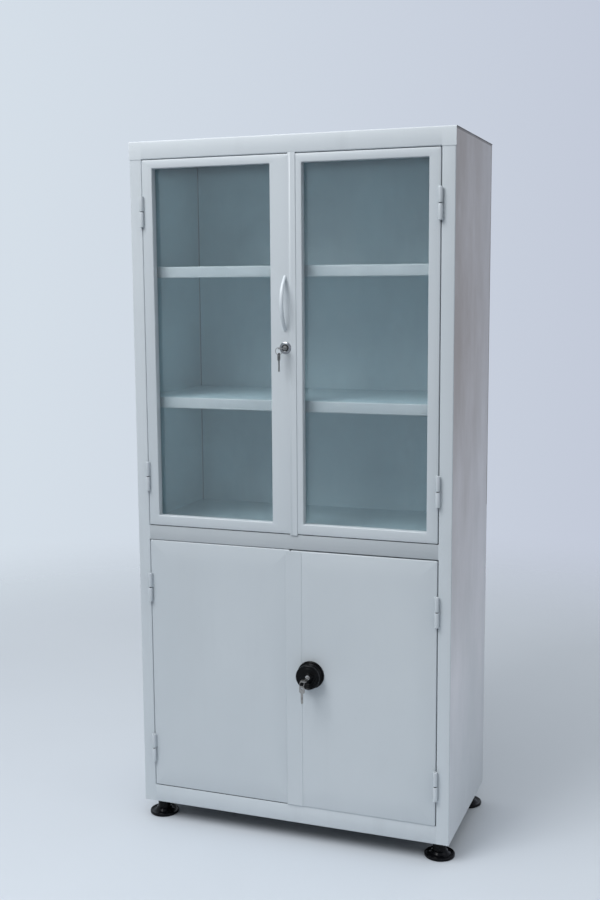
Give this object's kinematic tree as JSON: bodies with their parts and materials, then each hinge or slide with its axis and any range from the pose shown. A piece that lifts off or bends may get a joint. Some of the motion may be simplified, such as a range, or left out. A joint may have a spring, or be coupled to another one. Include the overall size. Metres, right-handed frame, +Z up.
{
  "type": "lockable medicine cabinet",
  "caption": "Free-standing sheet-metal medicine cabinet with glazed upper doors, solid lower doors, cam lock, locking knob, keys, shelves and levelling feet.",
  "frame": {"origin": "centre of the underside of the whole object's box, on the floor", "axes": "+Z up, the doors face -Y, +X to the right seen from the front"},
  "size_m": [0.911, 0.5276, 1.92],
  "materials": {
    "carcass_paint": "pale blue-white semi-gloss powder coat",
    "door_paint": "pale blue-white semi-gloss powder coat",
    "zinc_steel": "zinc-plated steel",
    "window_glass": "clear float glass",
    "gasket_rubber": "matt grey rubber",
    "lock_chrome": "polished chrome",
    "key_steel": "nickel-plated steel",
    "black_plastic": "glossy black plastic",
    "foot_plastic": "satin black plastic"
  },
  "bodies": {
    "carcass": {"side_panel_left": "carcass_paint", "side_panel_right": "carcass_paint", "back_panel": "carcass_paint", "top_cap": "carcass_paint", "middle_deck": "carcass_paint", "bottom_panel": "carcass_paint", "shelf_top": "carcass_paint", "shelf_middle": "carcass_paint", "shelf_low": "carcass_paint", "shelf_brackets": "carcass_paint", "foot_plates": "carcass_paint", "foot_nuts": "zinc_steel", "hinge_frame_knuckles": "carcass_paint", "hinge_pins": "zinc_steel"},
    "upper_left_door": {"upper_left_frame": "door_paint", "upper_left_glass": "window_glass", "upper_left_gasket": "gasket_rubber", "upper_left_beads": "door_paint", "upper_left_knuckles": "door_paint", "upper_cover_strip": "door_paint", "bow_handle": "door_paint", "handle_screws": "zinc_steel", "cam_barrel": "lock_chrome", "cam_nut": "zinc_steel"},
    "cam_lock_plug": {"cam_plug": "lock_chrome", "cam_tongue": "zinc_steel", "tongue_screw": "zinc_steel", "cam_key": "key_steel"},
    "cam_ring": {"cam_key_ring": "key_steel"},
    "cam_hanging_key": {"cam_spare_key": "key_steel"},
    "upper_right_door": {"upper_right_frame": "door_paint", "upper_right_glass": "window_glass", "upper_right_gasket": "gasket_rubber", "upper_right_beads": "door_paint", "upper_right_knuckles": "door_paint", "bolt_housings": "zinc_steel"},
    "bolt_top": {"bolt_rod_top": "zinc_steel"},
    "bolt_bottom": {"bolt_rod_bottom": "zinc_steel"},
    "lower_left_door": {"lower_left_pan": "door_paint", "lower_left_stiffener": "door_paint", "lower_left_knuckles": "door_paint"},
    "lower_right_door": {"lower_right_pan": "door_paint", "lower_right_stiffener": "door_paint", "lower_right_knuckles": "door_paint", "lower_cover_strip": "door_paint", "knob_rose": "black_plastic", "rod_guides": "zinc_steel"},
    "knob": {"lock_knob": "black_plastic", "rod_cam": "zinc_steel"},
    "knob_lock_plug": {"knob_plug": "lock_chrome", "knob_key": "key_steel"},
    "knob_ring": {"knob_key_ring": "key_steel"},
    "knob_hanging_key": {"knob_spare_key": "key_steel"},
    "rod_up": {"lock_rod_top": "zinc_steel"},
    "rod_down": {"lock_rod_bottom": "zinc_steel"},
    "foot_1": {"foot_front_left": "foot_plastic"},
    "foot_2": {"foot_front_right": "foot_plastic"},
    "foot_3": {"foot_rear_left": "foot_plastic"},
    "foot_4": {"foot_rear_right": "foot_plastic"}
  },
  "joints": [
    {"name": "upper_left_hinge", "type": "hinge", "parent": "carcass", "child": "upper_left_door", "pos_m": [-0.4135, -0.19356, 1.008], "axis": [0, 0, -1], "range_deg": [0, 170]},
    {"name": "upper_right_hinge", "type": "hinge", "parent": "carcass", "child": "upper_right_door", "pos_m": [0.4135, -0.19356, 1.008], "axis": [0, 0, 1], "range_deg": [0, 170]},
    {"name": "lower_right_hinge", "type": "hinge", "parent": "carcass", "child": "lower_right_door", "pos_m": [0.4135, -0.19356, 0.217], "axis": [0, 0, 1], "range_deg": [0, 170]},
    {"name": "lower_left_hinge", "type": "hinge", "parent": "carcass", "child": "lower_left_door", "pos_m": [-0.4135, -0.19356, 0.217], "axis": [0, 0, -1], "range_deg": [0, 170]},
    {"name": "cam_turn", "type": "hinge", "parent": "upper_left_door", "child": "cam_lock_plug", "pos_m": [-0.0015, -0.18616, 1.37], "axis": [0, -1, 0], "range_deg": [0, 90]},
    {"name": "cam_ring_swing", "type": "hinge", "parent": "cam_lock_plug", "child": "cam_ring", "pos_m": [-0.00838, -0.21896, 1.3711], "axis": [-1, 0, 0], "range_deg": [-12, 12]},
    {"name": "cam_hanging_key_swing", "type": "hinge", "parent": "cam_ring", "child": "cam_hanging_key", "pos_m": [-0.00838, -0.21896, 1.35394], "axis": [-1, 0, 0], "range_deg": [-20, 20]},
    {"name": "bolt_top_slide", "type": "slide", "parent": "upper_right_door", "child": "bolt_top", "axis": [0, 0, 1], "range_m": [0, 0.014]},
    {"name": "bolt_bottom_slide", "type": "slide", "parent": "upper_right_door", "child": "bolt_bottom", "axis": [0, 0, -1], "range_m": [0, 0.014]},
    {"name": "knob_turn", "type": "hinge", "parent": "lower_right_door", "child": "knob", "pos_m": [0.065, -0.18616, 0.4855], "axis": [0, -1, 0], "range_deg": [0, 90]},
    {"name": "rod_up_slide", "type": "slide", "parent": "lower_right_door", "child": "rod_up", "axis": [0, 0, 1], "range_m": [0, 0.012]},
    {"name": "rod_down_slide", "type": "slide", "parent": "lower_right_door", "child": "rod_down", "axis": [0, 0, -1], "range_m": [0, 0.012]},
    {"name": "knob_lock_turn", "type": "hinge", "parent": "knob", "child": "knob_lock_plug", "pos_m": [0.065, -0.21676, 0.4855], "axis": [0, -1, 0], "range_deg": [0, 90]},
    {"name": "knob_ring_swing", "type": "hinge", "parent": "knob_lock_plug", "child": "knob_ring", "pos_m": [0.06265, -0.25422, 0.4866], "axis": [-0.342, -0.9397, 0], "range_deg": [-12, 12]},
    {"name": "knob_hanging_key_swing", "type": "hinge", "parent": "knob_ring", "child": "knob_hanging_key", "pos_m": [0.06265, -0.25422, 0.46944], "axis": [-0.342, -0.9397, 0], "range_deg": [-20, 20]},
    {"name": "foot_1_turn", "type": "hinge", "parent": "carcass", "child": "foot_1", "pos_m": [-0.414, -0.13616, 0.03], "axis": [0, 0, 1], "continuous": true},
    {"name": "foot_2_turn", "type": "hinge", "parent": "carcass", "child": "foot_2", "pos_m": [0.414, -0.13616, 0.03], "axis": [0, 0, 1], "continuous": true},
    {"name": "foot_3_turn", "type": "hinge", "parent": "carcass", "child": "foot_3", "pos_m": [-0.414, 0.21384, 0.03], "axis": [0, 0, 1], "continuous": true},
    {"name": "foot_4_turn", "type": "hinge", "parent": "carcass", "child": "foot_4", "pos_m": [0.414, 0.21384, 0.03], "axis": [0, 0, 1], "continuous": true}
  ],
  "couplings": [
    {"joint": "upper_right_hinge", "follows": "upper_left_hinge", "ratio": 1},
    {"joint": "lower_left_hinge", "follows": "lower_right_hinge", "ratio": 1},
    {"joint": "rod_up_slide", "follows": "knob_turn", "m_per_rad": 0.0076394},
    {"joint": "rod_down_slide", "follows": "knob_turn", "m_per_rad": 0.0076394}
  ]
}
